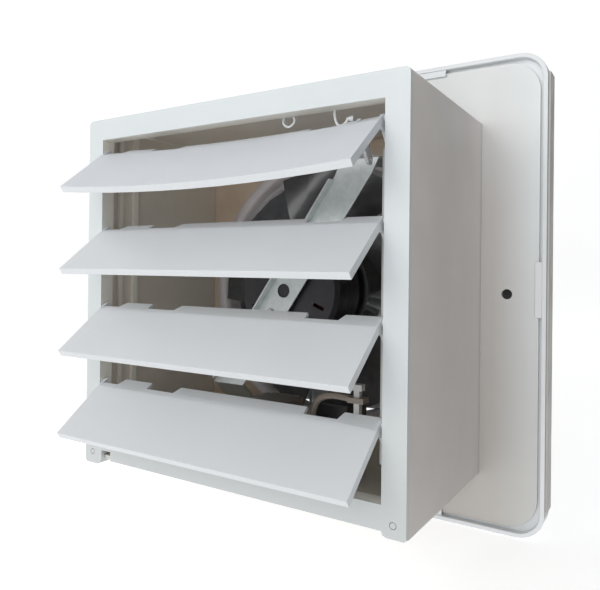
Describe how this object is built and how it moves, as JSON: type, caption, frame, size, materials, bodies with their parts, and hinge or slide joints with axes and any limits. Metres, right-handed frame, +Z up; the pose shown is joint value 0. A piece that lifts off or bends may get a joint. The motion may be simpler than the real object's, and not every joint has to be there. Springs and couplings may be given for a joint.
{
  "type": "window exhaust fan",
  "caption": "Square window exhaust fan with linked opening louvres at the outdoor end of its duct, a strap-held motor and impeller, and a slatted room cover.",
  "frame": {"origin": "centre of the wall opening, in the plane of the wall that the cover's back edge meets", "axes": "+Y along the fan's axis to the outdoor side, +Z up, X across"},
  "size_m": [0.3354, 0.2372, 0.3324],
  "materials": {
    "white_plastic": "semi-gloss moulded, off-white",
    "louvre_plastic": "semi-gloss moulded, cool off-white",
    "grey_plastic": "satin moulded, light grey",
    "beige_plastic": "satin moulded, beige",
    "brown_plastic": "matte moulded, brown-grey",
    "black_plastic": "matte moulded, black",
    "dark_plastic": "glossy moulded, dark grey",
    "black_motor_paint": "satin black paint",
    "coated_steel": "thin grey-brown coating",
    "galvanised_steel": "galvanised, faint spangle",
    "brown_steel": "thin brown-grey coating",
    "bright_steel": "plated, bright",
    "lamination_steel": "stacked sheets",
    "copper_wire": "enamelled",
    "black_rubber": "matte"
  },
  "bodies": {
    "housing": {"body_frame": "white_plastic", "shutter_frame": "white_plastic", "actuator_body": "brown_plastic", "actuator_bracket": "brown_steel", "orifice_plate": "coated_steel", "motor_front_shell": "black_motor_paint", "motor_rear_shell": "black_motor_paint", "stator_core": "lamination_steel", "winding_front": "copper_wire", "winding_rear": "copper_wire", "front_bearing": "bright_steel", "rear_bearing": "bright_steel", "motor_strap": "galvanised_steel", "front_cover": "white_plastic", "front_grille": "white_plastic", "wiring_box": "white_plastic", "wiring_lid": "white_plastic", "cable_grommet": "black_rubber", "run_capacitor": "black_plastic", "hook_loop": "white_plastic", "hook_clip": "white_plastic", "frame_screw_1": "bright_steel", "frame_screw_2": "bright_steel", "orifice_screw_1": "bright_steel", "orifice_screw_2": "bright_steel", "orifice_screw_3": "bright_steel", "orifice_screw_4": "bright_steel", "strap_screw_1": "bright_steel", "strap_screw_2": "bright_steel", "motor_screw_1": "bright_steel", "motor_screw_2": "bright_steel", "bracket_screw_1": "bright_steel", "bracket_screw_2": "bright_steel"},
    "rotor": {"impeller": "dark_plastic", "impeller_nut": "black_plastic", "motor_shaft": "bright_steel", "rotor_core": "lamination_steel"},
    "louvre_1": {"louvre_1": "louvre_plastic"},
    "louvre_2": {"louvre_2": "louvre_plastic"},
    "louvre_3": {"louvre_3": "louvre_plastic"},
    "louvre_4": {"louvre_4": "louvre_plastic"},
    "link": {"link_rod": "grey_plastic"},
    "drive": {"drive_stem": "grey_plastic", "link_arm": "beige_plastic"},
    "crank": {"actuator_crank": "galvanised_steel"}
  },
  "joints": [
    {"name": "impeller_spin", "type": "hinge", "parent": "housing", "child": "rotor", "pos_m": [0, 0, 0], "axis": [0, 1, 0], "continuous": true},
    {"name": "louvre_1_swing", "type": "hinge", "parent": "housing", "child": "louvre_1", "pos_m": [0, 0.137, 0.0975], "axis": [1, 0, 0], "range_deg": [-44, 15]},
    {"name": "louvre_2_swing", "type": "hinge", "parent": "housing", "child": "louvre_2", "pos_m": [0, 0.137, 0.0425], "axis": [1, 0, 0], "range_deg": [-44, 15]},
    {"name": "louvre_3_swing", "type": "hinge", "parent": "housing", "child": "louvre_3", "pos_m": [0, 0.137, -0.0125], "axis": [1, 0, 0], "range_deg": [-44, 15]},
    {"name": "louvre_4_swing", "type": "hinge", "parent": "housing", "child": "louvre_4", "pos_m": [0, 0.137, -0.0675], "axis": [1, 0, 0], "range_deg": [-44, 15]},
    {"name": "rod_swing", "type": "hinge", "parent": "louvre_1", "child": "link", "pos_m": [-0.10265, 0.12256, 0.07833], "axis": [1, 0, 0], "range_deg": [-15, 44]},
    {"name": "drive_swing", "type": "hinge", "parent": "louvre_4", "child": "drive", "pos_m": [-0.086, 0.12256, -0.08667], "axis": [1, 0, 0], "range_deg": [-15, 44]},
    {"name": "crank_turn", "type": "hinge", "parent": "housing", "child": "crank", "pos_m": [-0.04475, 0.12244, -0.07283], "axis": [1, 0, 0], "range_deg": [-44, 15]}
  ],
  "couplings": [
    {"joint": "louvre_2_swing", "follows": "louvre_1_swing", "ratio": 1},
    {"joint": "louvre_3_swing", "follows": "louvre_1_swing", "ratio": 1},
    {"joint": "louvre_4_swing", "follows": "louvre_1_swing", "ratio": 1},
    {"joint": "rod_swing", "follows": "louvre_1_swing", "ratio": -1},
    {"joint": "drive_swing", "follows": "louvre_1_swing", "ratio": -1},
    {"joint": "crank_turn", "follows": "louvre_1_swing", "ratio": 1}
  ]
}
